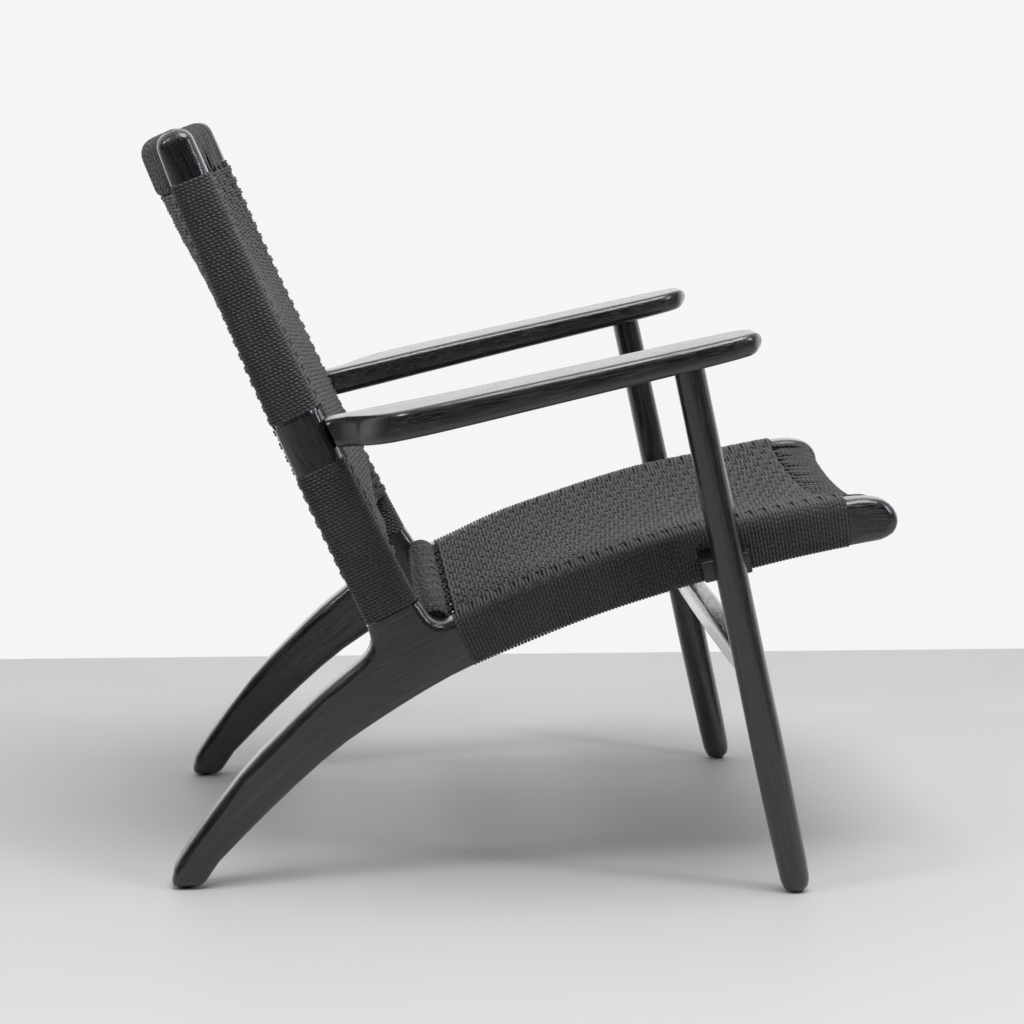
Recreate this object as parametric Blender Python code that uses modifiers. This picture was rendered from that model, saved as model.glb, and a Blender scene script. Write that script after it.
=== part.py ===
"""Low lounge chair: black-stained oak frame with a woven paper-cord seat and back.

Metres, +Z up. The chair faces -Y, its middle plane is X = 0 and the floor is Z = 0.
Each side is a curved rear leg and seat rail cut from one board, a back stile tenoned
into its knee, a turned front leg and a flat armrest. Five rails tie the sides together.
"""
import math

import bmesh
import bpy
from mathutils import Vector

# ---------------------------------------------------------------- overall sizes
SIDE_SPACING = 0.512        # between the middle planes of the two side boards
SIDE_THICK = 0.035          # side board, across the chair
STILE_THICK = 0.033         # back stile, across the chair
STILE_LENGTH = 0.500        # along the stile, from the knee joint to its top
STILE_LEAN = 26.8           # degrees from upright at the knee
STILE_BEND = 10.4           # degrees it straightens in each metre
KNEE_Y = 0.1205             # middle of the stile at the knee joint
KNEE_Z = 0.2657
EDGE = 0.008                # rounding on the long edges of the boards
GAP = 0.0003                # clearance between pieces that touch

# ---------------------------------------------------------------- cord
CORD = 0.0034               # diameter of the twisted cord
REBATE = 0.0022             # step in the wood that the cord is wound into
WRAP_GAP = 0.001            # between the side pieces and the cord on the cross rails

# ---------------------------------------------------------------- stile
STILE_WIDTHS = ((0.0, 0.052), (0.15, 0.0475), (0.21, 0.0465), (0.335, 0.0415), (0.455, 0.037), (0.50, 0.034))
ARM_JOINT = 0.18075         # along the stile, the middle of the bare stretch where the arm meets it
ARM_BARE_LENGTH = 0.0505    # length of that bare stretch
TOP_BARE_LENGTH = 0.048     # bare stretch at the top
STILE_CAP = 0.014           # length of the rounding at the top
KNEE_TENON = (0.010, 0.030, 0.042)

# ---------------------------------------------------------------- side board outline (Y, Z)
LEG_BACK = ((0.3305, 0.021), (0.316, 0.045), (0.267, 0.110), (0.228, 0.151), (0.190, 0.188),
            (0.161, 0.212), (0.146, 0.226), (0.141, 0.238))
NOTCH = ((0.0905, 0.270), (0.085, 0.2615), (0.0765, 0.2565), (0.066, 0.2585))
RAIL_TOP = ((0.040, 0.270), (0.011, 0.284), (-0.072, 0.3145), (-0.168, 0.3435), (-0.224, 0.355),
            (-0.280, 0.3665), (-0.313, 0.3722), (-0.334, 0.3732))
SEAT_RUN_OUT = (0.095, 0.2455)    # the rail's top line carried on past the notch
RAIL_TIP = ((-0.349, 0.371), (-0.359, 0.363), (-0.3635, 0.351), (-0.359, 0.339), (-0.347, 0.3325))
RAIL_BOTTOM = ((-0.347, 0.3325), (-0.314, 0.3265), (-0.270, 0.3175), (-0.232, 0.3085), (-0.155, 0.288),
               (-0.078, 0.264), (-0.002, 0.2345), (0.056, 0.209), (0.094, 0.188), (0.132, 0.164), (0.171, 0.137),
               (0.209, 0.104), (0.248, 0.0665), (0.287, 0.0265))
FOOT_TOE = 0.304                    # Y of the foot's lower corner, before its rounding
FOOT_HEEL = 0.3345                  # Y of its rear corner
WRAP_REAR = (0.062, 0.042)          # Y where the seat cord starts, on the rail's top and bottom
WRAP_FRONT = (-0.312, -0.317)       # and where it ends

# ---------------------------------------------------------------- front leg
LEG_FOOT = (0.053, -0.2645)     # its middle on the floor: out from the side board's middle, Y
LEG_HEAD = (0.063, -0.158)      # the same at LEG_HEAD_Z
LEG_HEAD_Z = 0.490
LEG_RADII = ((0.0, 0.0085), (0.0015, 0.0105), (0.006, 0.0128), (0.013, 0.0140), (0.045, 0.0149),
             (0.13, 0.0157), (0.22, 0.0154), (0.33, 0.0150), (0.44, 0.0146))
LEG_TENON = (0.0080, 0.014)     # radius and depth in the arm
GLIDE = (0.0055, 0.0045, 0.002)  # radius, height and how far it stands below the wood

# ---------------------------------------------------------------- armrest
ARM_SLOPE = -0.2154             # rise of the top face for each metre of Y
ARM_RISE = 0.0200               # top face over the joint's middle, at the stile
ARM_EDGE = 0.0065
# across the chair, out from the side board's middle plane, at each Y
ARM_INNER = ((-0.2215, 0.05), (-0.214, 0.033), (-0.195, 0.0215), (-0.15, 0.016), (-0.04, 0.0135),
             (0.06, 0.006), (0.12, -0.007), (0.165, -0.0155), (0.20, -0.0165))
ARM_OUTER = ((-0.2215, 0.074), (-0.214, 0.0875), (-0.195, 0.0955), (-0.15, 0.0985), (-0.04, 0.098),
             (0.06, 0.098), (0.10, 0.0955), (0.125, 0.087), (0.145, 0.065), (0.165, 0.031), (0.20, 0.0165))
ARM_DEPTH = ((-0.2215, 0.0205), (-0.15, 0.0225), (-0.02, 0.0255), (0.07, 0.0275), (0.20, 0.0290))
ARM_NOSE = (0.012, 0.0075)      # length of the rounding at the front end, how far it takes top and bottom down
ARM_TENON = (0.014, 0.016, 0.014)

# ---------------------------------------------------------------- cross rails
TOP_RAIL = (0.026, 0.046, 0.0255)     # thickness, height, distance below the stile's top
TOP_RAIL_BOW = 0.0307
LOW_RAIL = (0.016, 0.032, 0.026)      # thickness, height, place along the stile
FRONT_RAIL = (0.026, 0.034, -0.339, 0.3498)   # thickness, height, Y, Z at its ends
FRONT_RAIL_DIP = 0.020                # how far its middle hangs below its ends
REAR_RAIL = (0.020, 0.030, 0.078, 0.2465)
RAIL_CORNER, TOP_RAIL_CORNER = 0.009, 0.0125
RAIL_TENON = 0.010
TENON_SHOULDER = 0.004
STRETCHER_Z = 0.216
STRETCHER_END = (0.020, 0.0225)
STRETCHER_MID = (0.024, 0.0285)
STRETCHER_TENON = (0.0062, 0.012)
BOW_REACH = 0.214                     # how far below the top rail the back still follows its bow
SEAT_SAG = 0.009                      # how far the middle of the seat hangs below its edges

# ---------------------------------------------------------------- leg block and dowel
BLOCK = (0.046, 0.0195)               # length along the rail, height
BLOCK_MID = (-0.194, 0.3135)
BLOCK_TILT = 13.0
DOWEL = (0.005, 0.0285)               # radius, depth in the side board

SIDE_X = SIDE_SPACING / 2
ARM_BARE = (ARM_JOINT - ARM_BARE_LENGTH / 2, ARM_JOINT + ARM_BARE_LENGTH / 2)
TOP_BARE = STILE_LENGTH - TOP_BARE_LENGTH
CORD_OUT = GAP + CORD                 # from the rebated wood to the outside of the cord

# ---------------------------------------------------------------- clean scene
for item in list(bpy.data.objects):
    bpy.data.objects.remove(item, do_unlink=True)

PARTS = bpy.data.collections.new("lounge_chair")
CUTTERS = bpy.data.collections.new("cutters")
for collection in (PARTS, CUTTERS):
    bpy.context.scene.collection.children.link(collection)


def make_material(name, color, roughness, metallic=0.0):
    material = bpy.data.materials.new(name)
    material.use_nodes = True
    shader = material.node_tree.nodes["Principled BSDF"]
    shader.inputs["Base Color"].default_value = (*color, 1.0)
    shader.inputs["Roughness"].default_value = roughness
    shader.inputs["Metallic"].default_value = metallic
    return material


# ---------------------------------------------------------------- curves as formulas
def spline(points, per_span):
    """Catmull-Rom curve through open points, with per_span steps between neighbours."""
    padded = [2 * Vector(points[0]) - Vector(points[1])]
    padded += [Vector(point) for point in points]
    padded += [2 * Vector(points[-1]) - Vector(points[-2])]
    curve = []
    for i in range(1, len(padded) - 2):
        a, b, c, d = padded[i - 1:i + 3]
        for step in range(per_span):
            t = step / per_span
            curve.append(0.5 * (2 * b + (c - a) * t + (2 * a - 5 * b + 4 * c - d) * t ** 2
                                + (3 * b - a - 3 * c + d) * t ** 3))
    curve.append(padded[-2])
    return curve


def lookup(table, key):
    """Smooth value of a (key, value) table at key; keys rise or fall evenly."""
    rows = table if table[0][0] < table[-1][0] else tuple(reversed(table))
    if key <= rows[0][0]:
        return rows[0][1]
    for i in range(len(rows) - 1):
        (k0, v0), (k1, v1) = rows[i], rows[i + 1]
        if key <= k1:
            before = (v1 - rows[i - 1][1]) / (k1 - rows[i - 1][0]) if i > 0 else (v1 - v0) / (k1 - k0)
            after = (rows[i + 2][1] - v0) / (rows[i + 2][0] - k0) if i + 2 < len(rows) else (v1 - v0) / (k1 - k0)
            span = k1 - k0
            t = (key - k0) / span
            return ((2 * t ** 3 - 3 * t ** 2 + 1) * v0 + (t ** 3 - 2 * t ** 2 + t) * span * before
                    + (3 * t ** 2 - 2 * t ** 3) * v1 + (t ** 3 - t ** 2) * span * after)
    return rows[-1][1]


def stile_lean(s):
    return math.radians(STILE_LEAN - STILE_BEND * s)


def stile_point(s):
    """Middle of the stile, its direction and its rearward normal, all as (Y, Z)."""
    steps = 40
    y, z = KNEE_Y, KNEE_Z
    for i in range(steps):
        lean = stile_lean(s * (i + 0.5) / steps)
        y += math.sin(lean) * s / steps
        z += math.cos(lean) * s / steps
    lean = stile_lean(s)
    return Vector((y, z)), Vector((math.sin(lean), math.cos(lean))), Vector((math.cos(lean), -math.sin(lean)))


def stile_width(s):
    return lookup(STILE_WIDTHS, s)


def leg_point(z):
    """Middle of the left front leg at height z."""
    t = z / LEG_HEAD_Z
    out = LEG_FOOT[0] + (LEG_HEAD[0] - LEG_FOOT[0]) * t
    return Vector((SIDE_X + out, LEG_FOOT[1] + (LEG_HEAD[1] - LEG_FOOT[1]) * t, z))


def rounded_rect(width, height, radius, steps=3):
    """Points (a, b) round a rectangle, anticlockwise."""
    radius = min(radius, width / 2 - 1e-5, height / 2 - 1e-5)
    points = []
    for corner, (sa, sb) in enumerate(((1, 1), (-1, 1), (-1, -1), (1, -1))):
        for i in range(steps + 1):
            angle = math.radians(90 * corner + 90 * i / steps)
            points.append((sa * (width / 2 - radius) + radius * math.cos(angle),
                           sb * (height / 2 - radius) + radius * math.sin(angle)))
    return points


# ---------------------------------------------------------------- mesh builders
def add_object(name, mesh, collection):
    thing = bpy.data.objects.new(name, mesh)
    collection.objects.link(thing)
    return thing


def finish_mesh(name, bm):
    bmesh.ops.recalc_face_normals(bm, faces=bm.faces)
    mesh = bpy.data.meshes.new(name)
    bm.to_mesh(mesh)
    bm.free()
    return mesh


def loft(name, rings, collection, capped=True):
    """Skin over closed rings of equal length."""
    bm = bmesh.new()
    grid = [[bm.verts.new(point) for point in ring] for ring in rings]
    count = len(grid[0])
    for lower, upper in zip(grid, grid[1:]):
        for i in range(count):
            j = (i + 1) % count
            bm.faces.new((lower[i], lower[j], upper[j], upper[i]))
    if capped:
        bm.faces.new(list(reversed(grid[0])))
        bm.faces.new(grid[-1])
    return add_object(name, finish_mesh(name, bm), collection)


def tube(name, outer, inner, collection):
    """Walled sleeve between matching outer and inner rings."""
    bm = bmesh.new()
    shells = [[[bm.verts.new(point) for point in ring] for ring in rings] for rings in (outer, inner)]
    count = len(outer[0])
    for i in range(count):
        j = (i + 1) % count
        for shell in shells:
            for lower, upper in zip(shell, shell[1:]):
                bm.faces.new((lower[i], lower[j], upper[j], upper[i]))
        for end in (0, -1):
            bm.faces.new((shells[0][end][i], shells[0][end][j], shells[1][end][j], shells[1][end][i]))
    return add_object(name, finish_mesh(name, bm), collection)


def prism(name, outline, x0, x1, collection):
    """A (Y, Z) outline stretched from x0 to x1."""
    rings = [[(x, y, z) for y, z in outline] for x in (x0, x1)]
    return loft(name, rings, collection)


def ring_at(origin, u, v, points):
    return [origin + u * a + v * b for a, b in points]


def cylinder(name, start, end, radius, collection, steps=24):
    axis = (end - start).normalized()
    u = axis.orthogonal().normalized()
    v = axis.cross(u)
    circle = [(radius * math.cos(2 * math.pi * i / steps), radius * math.sin(2 * math.pi * i / steps))
              for i in range(steps)]
    return loft(name, [ring_at(start, u, v, circle), ring_at(end, u, v, circle)], collection)


def box(name, middle, axes, sizes, collection):
    u, v, w = axes
    section = [(a * sizes[0] / 2, b * sizes[1] / 2) for a, b in ((1, 1), (-1, 1), (-1, -1), (1, -1))]
    ends = [middle - w * sizes[2] / 2, middle + w * sizes[2] / 2]
    return loft(name, [ring_at(end, u, v, section) for end in ends], collection)


def boolean(thing, operation, other):
    """Cut, join or keep the overlap; the other object goes to the cutters."""
    if other.name not in CUTTERS.objects:
        for owner in list(other.users_collection):
            owner.objects.unlink(other)
        CUTTERS.objects.link(other)
    other.hide_render = True
    other.display_type = "WIRE"
    modifier = thing.modifiers.new(operation.lower(), "BOOLEAN")
    modifier.operation = operation
    modifier.solver = "EXACT"
    modifier.object = other


def bevel(thing, width, segments=3):
    modifier = thing.modifiers.new("edge", "BEVEL")
    modifier.width = width
    modifier.segments = segments
    modifier.limit_method = "ANGLE"
    modifier.angle_limit = math.radians(50)
    modifier.use_clamp_overlap = False


def give(thing, material):
    thing.data.materials.clear()
    thing.data.materials.append(material)


def inset(outline, amount):
    """Move every point of a closed anticlockwise outline inwards."""
    moved = []
    for i, point in enumerate(outline):
        along = (outline[(i + 1) % len(outline)] - outline[i - 1]).normalized()
        moved.append(point + Vector((-along.y, along.x)) * amount)
    return moved


def rail_top(y):
    return lookup((SEAT_RUN_OUT, *RAIL_TOP), y)


def rail_bottom(y):
    return lookup(RAIL_BOTTOM, y)


RAIL_YS = [0.045 - 0.0205 * i for i in range(19)]               # stations shared by the rail and its cord
LEG_YS = [0.0655 + (RAIL_BOTTOM[-1][0] - 0.0655) * i / 9 for i in range(10)]


# ---------------------------------------------------------------- side boards
def side_outline():
    """Rear leg, knee and seat rail as one closed outline, anticlockwise seen from +X."""
    foot_z = GLIDE[2]
    knee, up, back = stile_point(0)
    half = stile_width(0) / 2 + CORD_OUT - REBATE
    stub_rear, stub_front = knee + back * half + up * 0.02, knee - back * half + up * 0.02
    heel = [Vector((FOOT_HEEL, foot_z))] + spline((*LEG_BACK, knee + back * half - up * 0.003), 2)
    notch = spline((knee - back * half - up * 0.002, *NOTCH, (RAIL_YS[0], rail_top(RAIL_YS[0]))), 2)
    top = [Vector((y, rail_top(y))) for y in RAIL_YS[1:]]
    tip = spline((RAIL_TOP[-1], *RAIL_TIP), 2)
    bottom = [Vector((y, rail_bottom(y))) for y in (*reversed(RAIL_YS), *LEG_YS)]
    toe = [Vector((FOOT_TOE, foot_z))]
    return heel + [stub_rear, stub_front] + notch + top + tip + bottom + toe


def seat_zone():
    """Side view of the stretch of rail that the seat cord covers."""
    (rear_top, rear_low), (front_top, front_low) = WRAP_REAR, WRAP_FRONT
    reach, room = 0.04, 2 * GAP
    rear = [(rear_top + room, rail_top(rear_top) - REBATE), (rear_low + room, rail_bottom(rear_low) + REBATE)]
    front = [(front_low - room, rail_bottom(front_low) + REBATE), (front_top - room, rail_top(front_top) - REBATE)]
    ends = [(rear[0][0], rear[0][1] + reach), *rear, (rear[1][0], rear[1][1] - reach),
            (front[0][0], front[0][1] - reach), *front, (front[1][0], front[1][1] + reach)]
    return [Vector(point) for point in ends]


def make_side_board(sign, name):
    outline = side_outline()
    x = sign * SIDE_X
    board = prism(name, outline, x - SIDE_THICK / 2, x + SIDE_THICK / 2, PARTS)
    bevel(board, EDGE)
    boolean(board, "DIFFERENCE", prism(name + "_zone", seat_zone(), x - 0.03, x + 0.03, CUTTERS))
    thin = SIDE_THICK / 2 - REBATE
    core = prism(name + "_core", inset(outline, REBATE), x - thin, x + thin, CUTTERS)
    bevel(core, EDGE - REBATE / 2)
    boolean(board, "UNION", core)
    knee, up, back = stile_point(0)
    above = [knee + back * a + up * b for a, b in ((0.05, -GAP), (0.05, 0.06), (-0.05, 0.06), (-0.05, -GAP))]
    boolean(board, "DIFFERENCE", prism(name + "_joint", above, x - 0.03, x + 0.03, CUTTERS))
    boolean(board, "DIFFERENCE", knee_tenon(sign, name + "_mortise", GAP, KNEE_TENON[2] + 0.001))
    for rail in ("front", "rear"):
        boolean(board, "DIFFERENCE", rail_mortise(rail, sign, name + "_" + rail))
    boolean(board, "DIFFERENCE", dowel_solid(sign, name + "_dowel", GAP))
    boolean(board, "DIFFERENCE", glide_solid(rear_foot(sign), name + "_glide", GAP))
    give(board, WOOD_SIDE[sign])
    return board


def rear_foot(sign):
    return Vector((sign * SIDE_X, (FOOT_TOE + FOOT_HEEL) / 2, 0.0))


def knee_tenon(sign, name, grow, length):
    knee, up, back = stile_point(0)
    middle = knee - up * (length / 2 - 0.002)
    axes = (Vector((1, 0, 0)), Vector((0, back.x, back.y)), Vector((0, up.x, up.y)))
    sizes = (KNEE_TENON[0] + 2 * grow, KNEE_TENON[1] + 2 * grow, length + 0.004)
    return box(name, Vector((sign * SIDE_X, *middle)), axes, sizes, CUTTERS)


# ---------------------------------------------------------------- stiles
def stile_ring(sign, s, shrink, width=None, thick=None, radius=EDGE + 0.001):
    middle, up, back = stile_point(s)
    width = (stile_width(s) if width is None else width) - 2 * shrink
    thick = (STILE_THICK if thick is None else thick) - 2 * shrink
    return ring_at(Vector((sign * SIDE_X, *middle)), Vector((1, 0, 0)), Vector((0, back.x, back.y)),
                   rounded_rect(thick, width, radius))


def make_stile(sign, name):
    rings = []
    stretches = ((0.0, ARM_BARE[0], REBATE), (ARM_BARE[0], ARM_BARE[1], 0.0),
                 (ARM_BARE[1], TOP_BARE, REBATE), (TOP_BARE, STILE_LENGTH - STILE_CAP, 0.0))
    for start, end, shrink in stretches:
        count = max(2, round((end - start) / 0.025))
        rings += [stile_ring(sign, start + (end - start) * i / count, shrink) for i in range(count + 1)]
    cap_steps = 5
    for i in range(1, cap_steps + 1):
        angle = math.radians(90 * i / (cap_steps + 0.6))
        shrink = STILE_CAP * (1 - math.cos(angle)) * 0.92
        rings.append(stile_ring(sign, STILE_LENGTH - STILE_CAP * (1 - math.sin(angle)), shrink))
    stile = loft(name, rings, PARTS)
    boolean(stile, "UNION", knee_tenon(sign, name + "_tenon", 0.0, KNEE_TENON[2]))
    boolean(stile, "DIFFERENCE", arm_tenon(sign, name + "_mortise", GAP))
    for rail in ("top", "low"):
        boolean(stile, "DIFFERENCE", rail_mortise(rail, sign, name + "_" + rail))
    give(stile, WOOD_STILE[sign])
    return stile


# ---------------------------------------------------------------- cross rails
def rail_section(rail):
    """Section size, middle and axes of a rail: (thickness, height), (Y, Z), thickness axis, height axis."""
    if rail in ("top", "low"):
        thick, height, _ = TOP_RAIL if rail == "top" else LOW_RAIL
        middle, up, back = stile_point(rail_place(rail))
        return (thick, height), middle, back, up
    thick, height, y, z = FRONT_RAIL if rail == "front" else REAR_RAIL
    return (thick, height), Vector((y, z)), Vector((1, 0)), Vector((0, 1))


def rail_place(rail):
    """Where a back rail sits along the stile."""
    return STILE_LENGTH - TOP_RAIL[2] if rail == "top" else LOW_RAIL[2]


def rail_inner(rail):
    return SIDE_X - (STILE_THICK if rail in ("top", "low") else SIDE_THICK) / 2


def rail_bow(rail, x):
    return TOP_RAIL_BOW * (1 - (x / rail_inner(rail)) ** 2) if rail == "top" else 0.0


def rail_dip(rail, x):
    return FRONT_RAIL_DIP * (1 - (x / rail_inner(rail)) ** 2) if rail == "front" else 0.0


def rail_ring(rail, x, grow=0.0, bowed=True):
    (thick, height), middle, out, up = rail_section(rail)
    radius = TOP_RAIL_CORNER if rail == "top" else RAIL_CORNER
    if bowed:
        x_on_rail = max(-rail_inner(rail), min(rail_inner(rail), x))
        middle = middle + out * rail_bow(rail, x_on_rail) - up * rail_dip(rail, x_on_rail)
    return ring_at(Vector((x, *middle)), Vector((0, out.x, out.y)), Vector((0, up.x, up.y)),
                   rounded_rect(thick + 2 * grow, height + 2 * grow, radius + grow))


def make_rail(rail, name):
    shoulder = rail_inner(rail) + (REBATE if rail == "low" else 0.0) - GAP
    tip = shoulder + RAIL_TENON - 0.0005
    count = 12
    rings = [rail_ring(rail, x, -TENON_SHOULDER, bowed=False) for x in (-tip, -shoulder)]
    rings += [rail_ring(rail, -shoulder + 2 * shoulder * i / count) for i in range(count + 1)]
    rings += [rail_ring(rail, x, -TENON_SHOULDER, bowed=False) for x in (shoulder, tip)]
    thing = loft(name, rings, PARTS)
    give(thing, WOOD_RAIL)
    return thing


def rail_mortise(rail, sign, name):
    """Hole for a rail's tenon, open on the inner face."""
    inner = rail_inner(rail)
    deep = inner + (REBATE if rail == "low" else 0.0) + RAIL_TENON
    rings = [rail_ring(rail, sign * x, GAP - TENON_SHOULDER, bowed=False) for x in (inner - 0.004, deep)]
    return loft(name, rings, CUTTERS)


def make_stretcher(name):
    leg = leg_point(STRETCHER_Z)
    lean = (leg_point(0.3) - leg_point(0.1)).normalized()
    up = Vector((0, lean.y, lean.z)).normalized()
    out = Vector((0, up.z, -up.y))
    radius = lookup(LEG_RADII, STRETCHER_Z)
    shoulder = leg.x - radius * 0.55
    rings = []
    count = 14
    for i in range(count + 1):
        x = -shoulder + 2 * shoulder * i / count
        swell = 1 - (x / shoulder) ** 2
        depth = STRETCHER_END[0] + (STRETCHER_MID[0] - STRETCHER_END[0]) * swell
        height = STRETCHER_END[1] + (STRETCHER_MID[1] - STRETCHER_END[1]) * swell
        rise = (height - STRETCHER_END[1]) / 2
        middle = Vector((x, leg.y, leg.z)) + up * rise
        rings.append(ring_at(middle, out, up, rounded_rect(depth, height, 0.0062)))
    bar = loft(name, rings, PARTS)
    for sign, end in ((-1, "right"), (1, "left")):
        boolean(bar, "DIFFERENCE", leg_solid(sign, name + "_saddle_" + end, GAP, holes=False))
        start = Vector((sign * (shoulder - 0.02), leg.y, leg.z))
        stop = Vector((sign * (leg.x - radius + STRETCHER_TENON[1]), leg.y, leg.z))
        boolean(bar, "UNION", cylinder(name + "_tenon_" + end, start, stop, STRETCHER_TENON[0], CUTTERS))
    give(bar, WOOD_RAIL)
    return bar


def stretcher_mortise(sign, name):
    leg = leg_point(STRETCHER_Z)
    radius = lookup(LEG_RADII, STRETCHER_Z)
    start = Vector((sign * (leg.x - radius - 0.01), leg.y, leg.z))
    stop = Vector((sign * (leg.x - radius + STRETCHER_TENON[1] + GAP), leg.y, leg.z))
    return cylinder(name, start, stop, STRETCHER_TENON[0] + GAP, CUTTERS)


# ---------------------------------------------------------------- front legs
def arm_top(y):
    joint = stile_point(ARM_JOINT)[0]
    return joint.y + ARM_RISE + ARM_SLOPE * (y - joint.x)


def arm_underside(y):
    return arm_top(y) - lookup(ARM_DEPTH, y)


def leg_axis(sign):
    foot, head = leg_point(0.0), leg_point(LEG_HEAD_Z)
    foot.x, head.x = sign * foot.x, sign * head.x
    return foot, (head - foot).normalized()


def leg_shoulder():
    """Length along the leg to the arm's underside."""
    foot, axis = leg_axis(1)
    length = LEG_HEAD_Z / axis.z
    for _ in range(6):
        point = foot + axis * length
        length += (arm_underside(point.y) - point.z) / axis.z
    return length


def leg_solid(sign, name, grow, holes=True, collection=None):
    """The turned leg as a tapering round bar; grow makes the clearance copy."""
    foot, axis = leg_axis(sign)
    u = Vector((1, 0, 0))
    u = (u - axis * u.dot(axis)).normalized()
    v = axis.cross(u)
    end = leg_shoulder() + (0.012 if holes else 0.0)
    stations = [(z, r) for z, r in LEG_RADII if z <= 0.02]
    stations += [(z, lookup(LEG_RADII, z)) for z in (0.03, 0.06, 0.10, 0.15, 0.20, 0.26, 0.32, 0.38, 0.44)]
    stations.append((end, LEG_RADII[-1][1]))
    steps = 24
    rings = []
    for length, radius in stations:
        circle = [((radius + grow) * math.cos(2 * math.pi * i / steps),
                   (radius + grow) * math.sin(2 * math.pi * i / steps)) for i in range(steps)]
        rings.append(ring_at(foot + axis * (length + GLIDE[2] / axis.z), u, v, circle))
    return loft(name, rings, collection or CUTTERS)


def leg_tenon(sign, name, grow):
    foot, axis = leg_axis(sign)
    length = leg_shoulder()
    return cylinder(name, foot + axis * (length - 0.02), foot + axis * (length + LEG_TENON[1] + grow),
                    LEG_TENON[0] + grow, CUTTERS)


def make_front_leg(sign, name):
    leg = leg_solid(sign, name, 0.0, collection=PARTS)
    y0, y1 = LEG_HEAD[1] - 0.05, LEG_HEAD[1] + 0.05
    above = [Vector((y0, arm_underside(y0) - GAP)), Vector((y1, arm_underside(y1) - GAP)),
             Vector((y1, 0.60)), Vector((y0, 0.60))]
    boolean(leg, "DIFFERENCE", prism(name + "_top", above, sign * SIDE_X, sign * (SIDE_X + 0.13), CUTTERS))
    boolean(leg, "UNION", leg_tenon(sign, name + "_tenon", 0.0))
    foot = leg_point(0.0)
    level = [(x, y) for x, y in ((-0.03, -0.03), (0.03, -0.03), (0.03, 0.03), (-0.03, 0.03))]
    rings = [[Vector((sign * foot.x + x, foot.y + y, z)) for x, y in level] for z in (-0.02, GLIDE[2])]
    boolean(leg, "DIFFERENCE", loft(name + "_floor", rings, CUTTERS))
    boolean(leg, "DIFFERENCE", stretcher_mortise(sign, name + "_stretcher"))
    boolean(leg, "DIFFERENCE", dowel_solid(sign, name + "_dowel", GAP))
    boolean(leg, "DIFFERENCE", glide_solid(front_foot(sign), name + "_glide", GAP))
    give(leg, WOOD_LEG[sign])
    return leg


def front_foot(sign):
    foot = leg_point(0.0)
    return Vector((sign * foot.x, foot.y, 0.0))


def glide_solid(foot, name, grow, collection=None):
    low = foot - Vector((0, 0, 0.01 if grow else 0.0))
    high = foot + Vector((0, 0, GLIDE[1] + grow))
    return cylinder(name, low, high, GLIDE[0] + grow, collection or CUTTERS, steps=20)


# ---------------------------------------------------------------- leg block and dowel
def dowel_solid(sign, name, grow, collection=None):
    y, z = BLOCK_MID
    outer = leg_point(z).x + 0.001
    inner = SIDE_X + SIDE_THICK / 2 - DOWEL[1]
    start = Vector((sign * (inner - grow), y, z))
    return cylinder(name, start, Vector((sign * (outer + grow), y, z)), DOWEL[0] + grow,
                    collection or CUTTERS, steps=20)


def make_block(sign, name):
    y, z = BLOCK_MID
    tilt = math.radians(BLOCK_TILT)
    along = Vector((0, -math.cos(tilt), math.sin(tilt)))
    up = Vector((0, math.sin(tilt), math.cos(tilt)))
    inner = SIDE_X + SIDE_THICK / 2 - REBATE + GAP
    outer = leg_point(z).x - 0.004
    middle = Vector((sign * (inner + outer) / 2, y, z))
    block = box(name, middle, (along, up, Vector((1, 0, 0))), (*BLOCK, outer - inner), PARTS)
    bevel(block, 0.0015, 2)
    boolean(block, "DIFFERENCE", leg_solid(sign, name + "_saddle", GAP, holes=False))
    boolean(block, "DIFFERENCE", dowel_solid(sign, name + "_dowel", GAP))
    give(block, WOOD_RAIL)
    return block


# ---------------------------------------------------------------- armrests
def arm_tenon(sign, name, grow):
    s = ARM_JOINT + 0.001
    middle, up, back = stile_point(s)
    front = stile_width(s) / 2
    length = ARM_TENON[2]
    centre = middle - back * (front - length / 2 + 0.004 - grow / 2)
    axes = (Vector((1, 0, 0)), Vector((0, up.x, up.y)), Vector((0, back.x, back.y)))
    sizes = (ARM_TENON[0] + 2 * grow, ARM_TENON[1] + 2 * grow, length + 0.008 + grow)
    return box(name, Vector((sign * SIDE_X, *centre)), axes, sizes, CUTTERS)


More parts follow.
